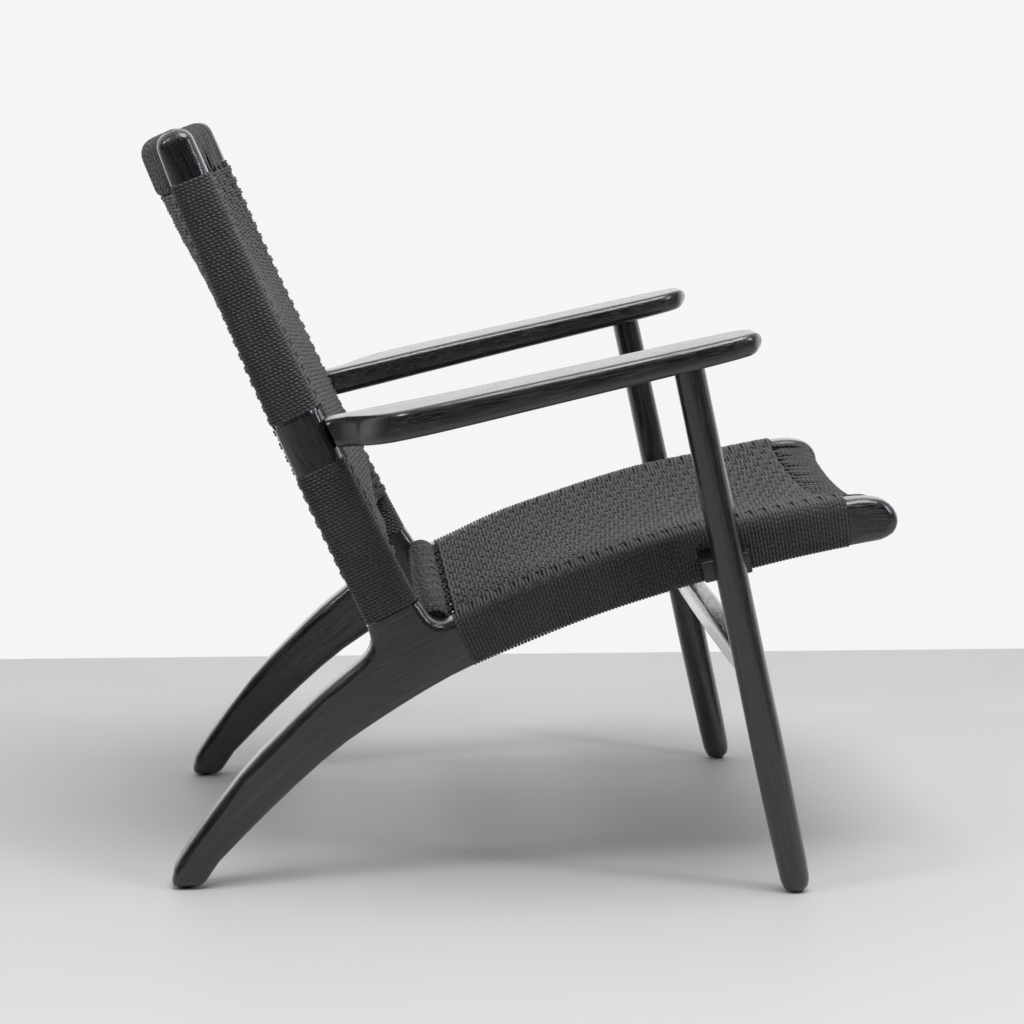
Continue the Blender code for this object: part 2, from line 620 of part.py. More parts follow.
def make_arm(sign, name):
    start = ARM_INNER[0][0]
    length, depth_cut = ARM_NOSE
    stations = [start + length * t for t in (0, 0.04, 0.12, 0.25, 0.42, 0.65, 1.0)]
    stations += [-0.200, -0.190, -0.175, -0.15, -0.12, -0.08, -0.04, 0.0, 0.04, 0.07, 0.09, 0.105, 0.12,
                 0.132, 0.142, 0.152, 0.162, 0.175, stile_point(ARM_JOINT)[0].x]
    rings = []
    for y in stations:
        inner, outer = SIDE_X + lookup(ARM_INNER, y), SIDE_X + lookup(ARM_OUTER, y)
        depth = lookup(ARM_DEPTH, y)
        top = arm_top(y)
        nose = depth_cut * (1 - math.sqrt(1 - max(0.0, 1 - (y - start) / length) ** 2))
        middle = Vector((sign * (inner + outer) / 2, y, top - depth / 2))
        rings.append(ring_at(middle, Vector((1, 0, 0)), Vector((0, 0, 1)),
                             rounded_rect(outer - inner, depth - 2 * nose, ARM_EDGE)))
    arm = loft(name, rings, PARTS)
    low, high = ARM_BARE[0] - 0.06, ARM_BARE[1] + 0.06
    face = []
    for s in (low, high):
        middle, up, back = stile_point(s)
        mid_width = stile_width(ARM_JOINT)
        face.append(middle - back * (mid_width / 2 + GAP))
    behind = [face[0], face[0] + Vector((0.12, 0)), face[1] + Vector((0.12, 0)), face[1]]
    boolean(arm, "DIFFERENCE", prism(name + "_end", behind, sign * (SIDE_X - 0.06), sign * (SIDE_X + 0.15), CUTTERS))
    boolean(arm, "UNION", arm_tenon(sign, name + "_tenon", 0.0))
    boolean(arm, "DIFFERENCE", leg_tenon(sign, name + "_mortise", GAP))
    give(arm, WOOD_ARM[sign])
    return arm


# ---------------------------------------------------------------- cord
def sleeve_points(half_x, inner, low, high, radius, count):
    """Closed loop (x, height) round both side rails, seen end on; inner is the rails' inner face."""
    points = []
    run = [radius - half_x] + [inner * (2 * i / count - 1) for i in range(count + 1)] + [half_x - radius]
    arc = [math.radians(90 * i / 3) for i in range(1, 3)]
    points += [(x, high) for x in run]
    points += [(half_x - radius + radius * math.sin(a), high - radius + radius * math.cos(a)) for a in arc]
    points += [(half_x, high - radius), (half_x, low + radius)]
    points += [(half_x - radius + radius * math.cos(a), low + radius - radius * math.sin(a)) for a in arc]
    points += [(x, low) for x in reversed(run)]
    points += [(-half_x + radius - radius * math.sin(a), low + radius - radius * math.cos(a)) for a in arc]
    points += [(-half_x, low + radius), (-half_x, high - radius)]
    points += [(-half_x + radius - radius * math.cos(a), high - radius + radius * math.sin(a)) for a in arc]
    return points


def seat_sag(x, y):
    span = WRAP_REAR[0] - WRAP_FRONT[0]
    along = min(1.0, max(0.0, (WRAP_REAR[0] - y) / span))
    across = max(0.0, 1 - (x / rail_inner("front")) ** 2)
    return (SEAT_SAG * math.sin(math.pi * along) ** 0.7 + FRONT_RAIL_DIP * along ** 2) * across


def make_seat_weave(name):
    half_x = SIDE_X + SIDE_THICK / 2 - REBATE + CORD_OUT
    inner = rail_inner("front")
    corner = EDGE - REBATE - GAP
    shells = ([], [])
    count = 20
    front_y = FRONT_RAIL[2] + FRONT_RAIL[0] / 2 + CORD_OUT + 3 * GAP
    for i in range(count + 1):
        t = i / count
        top_y = WRAP_REAR[0] + (WRAP_FRONT[0] - WRAP_REAR[0]) * t
        low_y = WRAP_REAR[1] + (WRAP_FRONT[1] - WRAP_REAR[1]) * t
        high, low = rail_top(top_y) - REBATE, rail_bottom(low_y) + REBATE
        for rings, out in zip(shells, (CORD_OUT, GAP)):
            points = sleeve_points(half_x - CORD_OUT + out, inner, low - out, high + out, corner + out, 6)
            ring = []
            for x, z in points:
                y = low_y + (top_y - low_y) * min(1.0, max(0.0, (z - low) / (high - low)))
                if i == count and abs(x) < 0.7 * inner:
                    y = front_y + GAP
                ring.append(Vector((x, y, z - seat_sag(x, y))))
            rings.append(ring)
    weave = tube(name, *shells, PARTS)
    rear_y = REAR_RAIL[2] - REAR_RAIL[0] / 2 - CORD_OUT - CORD
    cut, far = inner - WRAP_GAP, 0.6
    plan = [(far, -far), (far, far), (cut, far), (cut, rear_y), (-cut, rear_y), (-cut, far), (-far, far), (-far, -far)]
    rings = [[(x, y, z) for x, y in plan] for z in (0.1, 0.5)]
    y, z = BLOCK_MID
    rise = math.tan(math.radians(BLOCK_TILT))
    half = BLOCK[0] / 2 + 0.0025
    window = [Vector(p) for p in ((y + half, z - 0.05), (y + half, z + BLOCK[1] / 2 + 0.0015 - half * rise),
                                  (y - half, z + BLOCK[1] / 2 + 0.002 + half * rise), (y - half, z - 0.05))]
    for sign, side in ((-1, "right"), (1, "left")):
        near, far = sign * (SIDE_X + 0.001), sign * (SIDE_X + 0.045)
        boolean(weave, "DIFFERENCE", prism(name + "_window_" + side, window, near, far, CUTTERS))
    boolean(weave, "INTERSECT", loft(name + "_plan", rings, CUTTERS))
    give(weave, CORD_SEAT)
    return weave


def back_bow(x, s):
    """How far the back follows the bowed top rail at a point."""
    t = min(1.0, max(0.0, 1 - (rail_place("top") - s) / BOW_REACH))
    return rail_bow("top", min(abs(x), rail_inner("top"))) * t ** 1.25


def make_back_weave(name):
    half_x = SIDE_X + STILE_THICK / 2 - REBATE + CORD_OUT
    inner = rail_inner("top")
    shells = ([], [])
    count = 22
    start, end = GAP, TOP_BARE - GAP
    for i in range(count + 1):
        s = start + (end - start) * i / count
        middle, up, back = stile_point(s)
        reach = stile_width(s) / 2 - REBATE
        for rings, out in zip(shells, (CORD_OUT, GAP)):
            points = sleeve_points(half_x - CORD_OUT + out, inner, -reach - out, reach + out, EDGE + out, 6)
            rings.append([Vector((x, *(middle + back * (n + back_bow(x, s))))) for x, n in points])
    weave = tube(name, *shells, PARTS)
    for rail, s_range, side in (("low", (-0.02, LOW_RAIL[2] + LOW_RAIL[1] / 2 + CORD_OUT + GAP), "below"),
                                ("top", (rail_place("top") - TOP_RAIL[1] / 2 - CORD_OUT - GAP, STILE_LENGTH + 0.02),
                                 "above")):
        middle, up, back = stile_point(rail_place(rail))
        base = middle - up * rail_place(rail)
        strip = [base + up * s + back * b for s, b in ((s_range[0], -0.08), (s_range[0], 0.09),
                                                      (s_range[1], 0.09), (s_range[1], -0.08))]
        boolean(weave, "DIFFERENCE", prism(name + "_" + side, strip, WRAP_GAP - inner, inner - WRAP_GAP, CUTTERS))
    for sign, side in ((-1, "right"), (1, "left")):
        middle, up, back = stile_point(ARM_JOINT)
        axes = (Vector((0, up.x, up.y)), Vector((0, back.x, back.y)), Vector((1, 0, 0)))
        window = box(name + "_window_" + side, Vector((sign * (SIDE_X + 0.005), *middle)), axes,
                     (ARM_BARE_LENGTH + 2 * GAP, 0.08, 2 * (SIDE_X + 0.005 - inner + WRAP_GAP)), CUTTERS)
        boolean(weave, "DIFFERENCE", window)
    give(weave, CORD_BACK)
    return weave


def make_rail_wrap(rail, name):
    """Cord wound round a cross rail, as a sleeve that clears it."""
    end = rail_inner(rail) - WRAP_GAP - GAP
    count = 12
    shells = [[rail_ring(rail, -end + 2 * end * i / count, out) for i in range(count + 1)]
              for out in (CORD_OUT, GAP)]
    wrap = tube(name, *shells, PARTS)
    give(wrap, CORD_WRAP)
    return wrap


# ---------------------------------------------------------------- materials
BLACK_OAK = (0.014, 0.013, 0.014)
WOOD_SIDE = {s: make_material("oak_side_" + n, BLACK_OAK, 0.34) for s, n in ((-1, "right"), (1, "left"))}
WOOD_STILE = {s: make_material("oak_stile_" + n, BLACK_OAK, 0.32) for s, n in ((-1, "right"), (1, "left"))}
WOOD_LEG = {s: make_material("oak_leg_" + n, BLACK_OAK, 0.33) for s, n in ((-1, "right"), (1, "left"))}
WOOD_ARM = {s: make_material("oak_arm_" + n, BLACK_OAK, 0.30) for s, n in ((-1, "right"), (1, "left"))}
WOOD_RAIL = make_material("oak_rail", BLACK_OAK, 0.36)
DOWEL_WOOD = make_material("oak_dowel", (0.16, 0.10, 0.05), 0.6)
CORD_SEAT = make_material("cord_seat", (0.030, 0.029, 0.031), 0.82)
CORD_BACK = make_material("cord_back", (0.030, 0.029, 0.031), 0.82)
CORD_WRAP = make_material("cord_wrap", (0.030, 0.029, 0.031), 0.82)
GLIDE_PLASTIC = make_material("glide_plastic", (0.02, 0.02, 0.02), 0.5)

# ---------------------------------------------------------------- build
for side_sign, side_name in ((-1, "right"), (1, "left")):
    make_side_board(side_sign, "leg_and_rail_" + side_name)
    make_stile(side_sign, "back_stile_" + side_name)
    make_front_leg(side_sign, "front_leg_" + side_name)
    make_arm(side_sign, "armrest_" + side_name)
    make_block(side_sign, "leg_block_" + side_name)
    give(dowel_solid(side_sign, "leg_dowel_" + side_name, 0.0, PARTS), DOWEL_WOOD)
    give(glide_solid(front_foot(side_sign), "front_glide_" + side_name, 0.0, PARTS), GLIDE_PLASTIC)
    give(glide_solid(rear_foot(side_sign), "rear_glide_" + side_name, 0.0, PARTS), GLIDE_PLASTIC)

make_rail("top", "back_top_rail")
make_rail("low", "back_low_rail")
make_rail("front", "seat_front_rail")
make_rail("rear", "seat_rear_rail")
make_stretcher("front_stretcher")
make_seat_weave("seat_weave")
make_back_weave("back_weave")
make_rail_wrap("top", "back_top_wrap")
make_rail_wrap("low", "back_low_wrap")
make_rail_wrap("front", "seat_front_wrap")
make_rail_wrap("rear", "seat_rear_wrap")
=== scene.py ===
import math

import bpy
import numpy as np
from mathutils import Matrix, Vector


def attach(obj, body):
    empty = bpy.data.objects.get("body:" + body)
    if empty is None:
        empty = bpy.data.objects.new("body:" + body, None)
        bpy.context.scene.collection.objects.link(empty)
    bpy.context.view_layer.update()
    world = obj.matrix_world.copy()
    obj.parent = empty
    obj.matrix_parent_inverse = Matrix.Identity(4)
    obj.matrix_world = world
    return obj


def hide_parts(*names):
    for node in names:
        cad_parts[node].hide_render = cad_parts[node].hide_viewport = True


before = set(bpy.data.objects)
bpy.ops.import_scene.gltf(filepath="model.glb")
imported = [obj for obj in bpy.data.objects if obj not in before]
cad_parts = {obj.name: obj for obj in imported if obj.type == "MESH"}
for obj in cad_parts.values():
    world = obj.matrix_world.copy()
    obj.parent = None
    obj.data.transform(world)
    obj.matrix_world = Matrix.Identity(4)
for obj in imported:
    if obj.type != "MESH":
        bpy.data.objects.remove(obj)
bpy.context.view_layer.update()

RNG = np.random.RandomState(7)

# ------------------------------------------------------------------ sizes shared with the CAD part (m)
SIDE_X = 0.256
SIDE_THICK, STILE_THICK = 0.035, 0.033
REBATE, GAP = 0.0022, 0.0003
R = 0.0017                              # cord radius
SKIN = GAP + R                          # from the wood to the middle of the cord
KNEE = (0.1205, 0.2657)
LEAN, BEND = 26.8, 10.4
STILE_LENGTH, TOP_BARE = 0.500, 0.452
ARM_BARE = (0.1555, 0.206)
STILE_WIDTHS = ((0.0, 0.052), (0.15, 0.0475), (0.21, 0.0465), (0.335, 0.0415), (0.455, 0.037), (0.50, 0.034))
RAIL_TOP = ((0.095, 0.2455), (0.040, 0.270), (0.011, 0.284), (-0.072, 0.3145), (-0.168, 0.3435),
            (-0.224, 0.355), (-0.280, 0.3665), (-0.313, 0.3722), (-0.334, 0.3732))
RAIL_BOTTOM = ((-0.347, 0.3325), (-0.314, 0.3265), (-0.270, 0.3175), (-0.232, 0.3085), (-0.155, 0.288),
               (-0.078, 0.264), (-0.002, 0.2345), (0.056, 0.209), (0.094, 0.188))
TOP_RAIL, TOP_RAIL_S, BOW, BOW_REACH = (0.026, 0.046), 0.4745, 0.0307, 0.214
LOW_RAIL, LOW_RAIL_S = (0.016, 0.032), 0.026
FRONT_RAIL, FRONT_AT, FRONT_DIP = (0.026, 0.034), (-0.339, 0.3498), 0.020
REAR_RAIL, REAR_AT = (0.020, 0.030), (0.078, 0.2465)
SEAT_START, SEAT_END = (0.063, 0.043), (-0.312, -0.317)     # Y of the first and last winding, above and below
SAG = 0.009
BLOCK_Y, BLOCK_TOP = (-0.2185, -0.1695), 0.3265

# ------------------------------------------------------------------ weave
WARP_STEP = 0.0249                      # between pairs of lengthwise cords
SLOTS = 7                               # cords on a cross rail for each of those steps
SLOT = WARP_STEP / SLOTS
WARPS = range(-9, 10)
WEFT_RISE, WARP_RISE = 0.0026, 0.0016   # how far each cord swings about the middle of the layer
SEAT_ROWS, BACK_ROWS = 112, 134
GROUP = 14                              # cords on a cross rail that bunch together
BUNCH = 0.26


def lookup(table, key):
    rows = np.array(sorted(table))
    k, v = rows[:, 0], rows[:, 1]
    slope = np.gradient(v, k)
    key = np.clip(key, k[0], k[-1])
    i = np.clip(np.searchsorted(k, key) - 1, 0, len(k) - 2)
    span = k[i + 1] - k[i]
    t = (key - k[i]) / span
    return ((2 * t ** 3 - 3 * t ** 2 + 1) * v[i] + (t ** 3 - 2 * t ** 2 + t) * span * slope[i]
            + (3 * t ** 2 - 2 * t ** 3) * v[i + 1] + (t ** 3 - t ** 2) * span * slope[i + 1])


def smooth(t):
    t = np.clip(t, 0.0, 1.0)
    return t * t * (3 - 2 * t)


STILE_S = np.linspace(-0.05, 0.55, 601)
_lean = np.radians(LEAN - BEND * STILE_S)
_step = STILE_S[1] - STILE_S[0]
_y = np.cumsum(np.sin(_lean)) * _step
_z = np.cumsum(np.cos(_lean)) * _step
STILE_Y = KNEE[0] + _y - np.interp(0, STILE_S, _y)
STILE_Z = KNEE[1] + _z - np.interp(0, STILE_S, _z)


def back_point(x, s, n):
    """Row-frame point at x, s along the stiles and n to the rear of their middle."""
    lean = np.radians(LEAN - BEND * s)
    return np.stack([x + 0 * s, np.interp(s, STILE_S, STILE_Y) + n * np.cos(lean),
                     np.interp(s, STILE_S, STILE_Z) - n * np.sin(lean)], -1)


def bow(x, s):
    t = np.clip(1 - (TOP_RAIL_S - s) / BOW_REACH, 0, 1)
    return BOW * np.clip(1 - (x / (SIDE_X - STILE_THICK / 2)) ** 2, 0, 1) * t ** 1.25


def resample(points, step, closed):
    """Even spacing along a polyline."""
    line = np.vstack([points, points[:1]]) if closed else points
    length = np.concatenate([[0], np.cumsum(np.linalg.norm(np.diff(line, axis=0), axis=1))])
    count = max(4, int(round(length[-1] / step)))
    at = np.linspace(0, length[-1], count + 1)
    at = at[:-1] if closed else at
    return np.stack([np.interp(at, length, line[:, i]) for i in range(3)], -1)


def soften(points, rounds, closed=True):
    for _ in range(rounds):
        if closed:
            points = (np.roll(points, 1, 0) + 2 * points + np.roll(points, -1, 0)) / 4
        else:
            inner = (points[:-2] + 2 * points[1:-1] + points[2:]) / 4
            points = np.vstack([points[:1], inner, points[-1:]])
    return points


# ------------------------------------------------------------------ cords as round tubes
def tubes(name, paths, sides=8, radius=R):
    """One mesh of many cords. Each path is (points, reference direction, closed)."""
    verts, quads, uvs, base = [], [], [], 0
    turn = np.linspace(0, 2 * np.pi, sides, endpoint=False)
    for points, ref, closed in paths:
        n = len(points)
        ahead = np.roll(points, -1, 0) - np.roll(points, 1, 0)
        if not closed:
            ahead[0], ahead[-1] = points[1] - points[0], points[-1] - points[-2]
        t = ahead / np.linalg.norm(ahead, axis=1, keepdims=True)
        b = ref - t * (t @ ref)[:, None]
        b /= np.linalg.norm(b, axis=1, keepdims=True)
        a = np.cross(t, b)
        r = np.full(n, radius)
        if not closed:
            r[0] = r[-1] = radius * 0.45
        ring = points[:, None] + r[:, None, None] * (np.cos(turn)[None, :, None] * a[:, None]
                                                    + np.sin(turn)[None, :, None] * b[:, None])
        verts.append(ring.reshape(-1, 3))
        segs = n if closed else n - 1
        i = np.arange(segs)[:, None]
        j = np.arange(sides)[None]
        i2, j2 = (i + 1) % n, (j + 1) % sides
        quads.append((base + np.stack([i * sides + j, i * sides + j2, i2 * sides + j2, i2 * sides + j], -1))
                     .reshape(-1, 4))
        step = np.linalg.norm(np.roll(points, -1, 0) - points, axis=1)
        along = np.concatenate([[0], np.cumsum(step)]) + RNG.uniform(0, 0.1)
        u0, u1 = along[i] + 0 * j, along[i + 1] + 0 * j
        v0, v1 = (j + 0 * i) / sides, (j + 1 + 0 * i) / sides
        uvs.append(np.stack([np.stack([u0, v0], -1), np.stack([u0, v1], -1),
                             np.stack([u1, v1], -1), np.stack([u1, v0], -1)], 2).reshape(-1, 2))
        if not closed:
            for end in (0, n - 1):
                ids = base + end * sides + np.arange(sides)
                for k in range(1, sides - 1, 2):
                    quad = [ids[0], ids[k], ids[k + 1], ids[(k + 2) % sides]]
                    if k + 2 < sides:
                        quads.append(np.array([quad if end else quad[::-1]]))
                        uvs.append(np.zeros((4, 2)) + along[end])
        base += n * sides
    verts, quads, uvs = np.vstack(verts), np.vstack(quads), np.vstack(uvs)
    mesh = bpy.data.meshes.new(name)
    mesh.vertices.add(len(verts))
    mesh.vertices.foreach_set("co", verts.astype(np.float32).ravel())
    mesh.loops.add(len(quads) * 4)
    mesh.loops.foreach_set("vertex_index", quads.astype(np.int32).ravel())
    mesh.polygons.add(len(quads))
    mesh.polygons.foreach_set("loop_start", np.arange(0, len(quads) * 4, 4, dtype=np.int32))
    mesh.update(calc_edges=True)
    mesh.polygons.foreach_set("use_smooth", np.ones(len(quads), bool))
    layer = mesh.uv_layers.new(name="cord")
    layer.data.foreach_set("uv", uvs.astype(np.float32).ravel())
    mesh.validate()
    thing = bpy.data.objects.new(name, mesh)
    bpy.context.scene.collection.objects.link(thing)
    return thing


def place(name, paths, material, slot, *nodes):
    thing = tubes(name, paths)
    thing.data.materials.append(material)
    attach(thing, "root")
    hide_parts(*nodes)
    return thing


def rounded_loop(half, radius, low, high, x0=None, corner_steps=5):
    """Closed (x, height) loop, clockwise from the lower left; x0 is the other side when it isn't -half."""
    x0 = -half if x0 is None else x0
    corners = ((half - radius, high - radius, 90), (half - radius, low + radius, 0),
               (x0 + radius, low + radius, -90), (x0 + radius, high - radius, -180))
    points = []
    for cx, cy, start in corners:
        for i in range(corner_steps + 1):
            a = math.radians(start - 90 * i / corner_steps)
            points.append((cx + radius * math.cos(a), cy + radius * math.sin(a)))
    return np.array(points)


def weave_sign(x, pair):
    """+1 where a crosswise pair lies over the lengthwise cords, -1 where it lies under them."""
    swing = np.cos(np.pi * (pair + x / WARP_STEP))
    inside = np.clip((9.5 * WARP_STEP - np.abs(x)) / 0.001, 0, 1)
    over = -math.cos(math.pi * pair)
    arch = max(over, 0.0) * smooth((np.abs(x) - 9 * WARP_STEP) / 0.001) * smooth((0.266 - np.abs(x)) / 0.030)
    return np.maximum(np.sign(swing) * np.abs(swing) ** 0.75 * inside, arch)


# ------------------------------------------------------------------ seat
def seat_row_y(j, upper):
    i = 0 if upper else 1
    return SEAT_START[i] + (SEAT_END[i] - SEAT_START[i]) * j / SEAT_ROWS


def seat_edge(x):
    """0 on the side rails, 1 well inside them."""
    return smooth((SIDE_X - SIDE_THICK / 2 - 0.002 - np.abs(x)) / 0.04)


def across(x):
    return np.clip(1 - (x / (SIDE_X - SIDE_THICK / 2)) ** 2, 0, 1)


def seat_layer(x, y, upper):
    """Middle of the upper or lower layer of the seat."""
    along = np.clip((SEAT_START[0] - y) / (SEAT_START[0] - SEAT_END[0]), 0, 1)
    sag = SAG * np.sin(np.pi * along) ** 0.7 * across(x)
    dip = FRONT_DIP * along ** 2 * across(x)
    front = -FRONT_RAIL[1] / 2 - SKIN + FRONT_AT[1] - 0.002
    if upper:
        z = lookup(RAIL_TOP, y) - REBATE + SKIN
        drop = (FRONT_AT[1] + FRONT_RAIL[1] / 2 + SKIN + 0.0008 - z) * smooth((-0.262 - y) / 0.06) * seat_edge(x)
        return z - sag - dip + drop
    z = lookup(RAIL_BOTTOM, y) + REBATE - SKIN
    rear = REAR_AT[1] - REAR_RAIL[1] / 2 - SKIN - 0.002
    pull_front = smooth((-0.245 - y) / 0.07) * seat_edge(x)
    pull_rear = smooth((y + 0.01) / 0.06) * seat_edge(x)
    return z + (front - z) * pull_front + (rear - z) * pull_rear - sag * (1 - pull_front) * (1 - pull_rear) - dip


def seat_weft(j):
    """One crosswise cord of the seat, round both side rails or, beyond the field, round each of them."""
    pair = j // 2
    top_y, low_y = seat_row_y(j + 0.5, True), seat_row_y(j + 0.5, False)
    high = float(lookup(RAIL_TOP, top_y)) - REBATE + SKIN
    low = float(lookup(RAIL_BOTTOM, low_y)) + REBATE - SKIN
    outer = SIDE_X + SIDE_THICK / 2 - REBATE + SKIN
    ref = np.array([0.0, 1.0, 0.0])

    def lift(loop, woven):
        x, z = loop[:, 0], loop[:, 1]
        t = np.clip((z - low) / (high - low), 0, 1)
        y = low_y + (top_y - low_y) * t
        if woven:
            wobble = 0.00025 * np.sin(x * 95 + j * 2.1)
            rise = weave_sign(x, pair) * WEFT_RISE * (1 + 0.12 * math.sin(j * 1.7))
            up = seat_layer(x, y, True) - high + rise
            down = seat_layer(x, y, False) - low + rise
            inside = np.abs(x) < 0.2385
            rail = np.maximum(rise, 0) * (t > 0.97)
            z = np.where(inside, z + np.where(t > 0.5, up, down), z + rail)
            y = y + np.where(inside, wobble, 0)
        return np.stack([x, y, z], -1)

    field = -0.3095 < top_y < 0.0609
    paths = []
    if field:
        loop = rounded_loop(outer, 0.0088, low, high)
        fine = resample(np.stack([loop[:, 0], loop[:, 1], 0 * loop[:, 0]], -1), 0.0041, True)
        if BLOCK_Y[0] < (top_y + low_y) / 2 < BLOCK_Y[1]:
            for upper in (True, False):
                keep = fine[:, 1] > BLOCK_TOP - 0.003 if upper else fine[:, 1] < low + 0.008
                start = int(np.argmax(keep & ~np.roll(keep, 1)))
                run = np.roll(fine, -start, 0)[:int(keep.sum())]
                line = soften(lift(run, True), 1, False)
                line[0, 0] *= 0.985
                line[-1, 0] *= 0.985
                paths.append((line, ref, False))
        else:
            paths.append((soften(lift(fine, True), 1), ref, True))
    else:
        inner = SIDE_X - SIDE_THICK / 2 + REBATE - SKIN
        for side in (-1, 1):
            loop = rounded_loop(outer, 0.0088, low, high, inner)
            fine = resample(np.stack([side * loop[:, 0], loop[:, 1], 0 * loop[:, 0]], -1), 0.0035, True)
            paths.append((soften(lift(fine, False), 1), ref, True))
    return paths


def bunch(slot, weight):
    """x of a cord on a cross rail; weight pulls it towards the middle of its bunch."""
    middle = (4 + GROUP * math.floor((slot + 3) / GROUP)) * SLOT
    x = slot * SLOT
    return middle + (x - middle) * (1 - BUNCH * weight)


def rail_loop(size, steps=6):
    """(across, up) loop of the cord's middle round a cross rail."""
    return rounded_loop(size[0] / 2 + SKIN, 0.0105, -size[1] / 2 - SKIN, size[1] / 2 + SKIN, None, steps)


SLOT_RANGE = [i + 0.5 for i in range(-67, 67)]


def is_warp(slot):
    k = round(slot / SLOTS)
    return abs(slot - k * SLOTS) < 1 and abs(k) <= 9


def ring_order(points, start_angle):
    """Closed loop turned so that it starts at the point in that direction from its middle."""
    angle = np.degrees(np.arctan2(points[:, 1], points[:, 0]))
    gap = np.abs((angle - start_angle + 180) % 360 - 180)
    return np.roll(points, -int(np.argmin(gap)), 0)


def rail_dip(x):
    return FRONT_DIP * across(x)


def seat_cross_wraps(rail):
    """Cords round the front or rear rail of the seat between the lengthwise ones."""
    front = rail == "front"
    size, at = (FRONT_RAIL, FRONT_AT) if front else (REAR_RAIL, REAR_AT)
    loop = rail_loop(size)
    if front:
        high = size[1] / 2 + SKIN
        order = np.argsort(-np.degrees(np.arctan2(loop[:, 1], loop[:, 0])))
        loop = loop[order]
        loop = np.array([p for p in loop if not (p[0] > 0.006 and p[1] > 0)])
        angle = np.degrees(np.arctan2(loop[:, 1], loop[:, 0]))
        head, rest = loop[angle > 0], loop[angle <= 0]
        tail = np.array([(0.010, high), (0.018, high - 0.0001), (0.024, high - 0.0010), (0.0275, high - 0.0030),
                         (0.0245, high - 0.0058), (0.0175, high - 0.0110)])
        loop = np.vstack([head, tail, rest])
    paths = []
    for slot in SLOT_RANGE:
        if is_warp(slot):
            continue
        fine = resample(np.stack([0 * loop[:, 0], loop[:, 0], loop[:, 1]], -1), 0.0028, True)
        if front:
            weight = smooth((fine[:, 1] + 0.009) / 0.036)
        else:
            weight = smooth((0.002 - fine[:, 1]) / 0.010)
        fine[:, 0] = [bunch(slot, w) for w in weight]
        fine[:, 1:] += at
        if front:
            fine[:, 2] -= rail_dip(fine[:, 0])
        fine[:, 2] += 0.00035 * math.sin(slot * 2.3)
        fine[:, 1] += 0.0003 * math.sin(slot * 3.1)
        paths.append((soften(fine, 1), np.array([1.0, 0, 0]), True))
    return paths


def seat_warps(pairs):
    paths = []
    for k in pairs:
        for half in (-0.5, 0.5):
            slot = k * SLOTS + half
            x = slot * SLOT
            y_top = np.linspace(0.056, -0.336, 130)
            top = np.stack([y_top, seat_layer(x + 0 * y_top, y_top, True)], -1)
            front = ring_order(rail_loop(FRONT_RAIL)[::-1], 100)[:-12] + FRONT_AT - (0, rail_dip(x))
            y_low = np.linspace(-0.330, 0.044, 130)
            low = np.stack([y_low, seat_layer(x + 0 * y_low, y_low, False)], -1)
            rear = ring_order(rail_loop(REAR_RAIL)[::-1], -115)[:-4] + REAR_AT
            loop = np.vstack([top, front, low, rear])
            fine = resample(np.column_stack([np.full(len(loop), x), loop]), 0.0022, True)
            fine = soften(fine, 4)
            y, z = fine[:, 1].copy(), fine[:, 2]
            upper = z > (seat_layer(x + 0 * y, y, True) + seat_layer(x + 0 * y, y, False)) / 2
            for i, is_upper in ((0, True), (1, False)):
                j = (SEAT_START[i] - y) / (SEAT_START[i] - SEAT_END[i]) * SEAT_ROWS
                inside = (smooth((y + 0.306) / 0.006) * smooth((0.060 - y) / 0.006))
                swing = -np.cos(np.pi * ((j - 1) / 2 + k)) * WARP_RISE * inside
                z = np.where(upper == is_upper, z + swing, z)
            near_rail = np.maximum(smooth((-0.290 - y) / 0.02) * smooth((y + 0.345) / 0.030),
                                   smooth((y - 0.045) / 0.015) * smooth((0.085 - y) / 0.01))
            fine[:, 0] = [bunch(slot, w) for w in near_rail]
            fine[:, 2] = z
            paths.append((fine, np.array([1.0, 0, 0]), True))
    return paths


# ------------------------------------------------------------------ back
def back_layer(x, s, front):
    """Distance of the front or rear layer of the back from the middle of the stiles, rear positive."""
    reach = lookup(STILE_WIDTHS, s) / 2 - REBATE + SKIN
    edge = smooth((SIDE_X - STILE_THICK / 2 - 0.002 - np.abs(x)) / 0.035)
    top = TOP_RAIL[0] / 2 + SKIN + 0.0010
    low = LOW_RAIL[0] / 2 + SKIN + 0.0016
    pull_top = smooth((s - 0.395) / 0.055) * edge
    pull_low = smooth((0.105 - s) / 0.06) * edge
    reach = reach + (top - reach) * pull_top
    reach = reach + (low - reach) * pull_low
    return bow(x, s) + (-reach if front else reach)


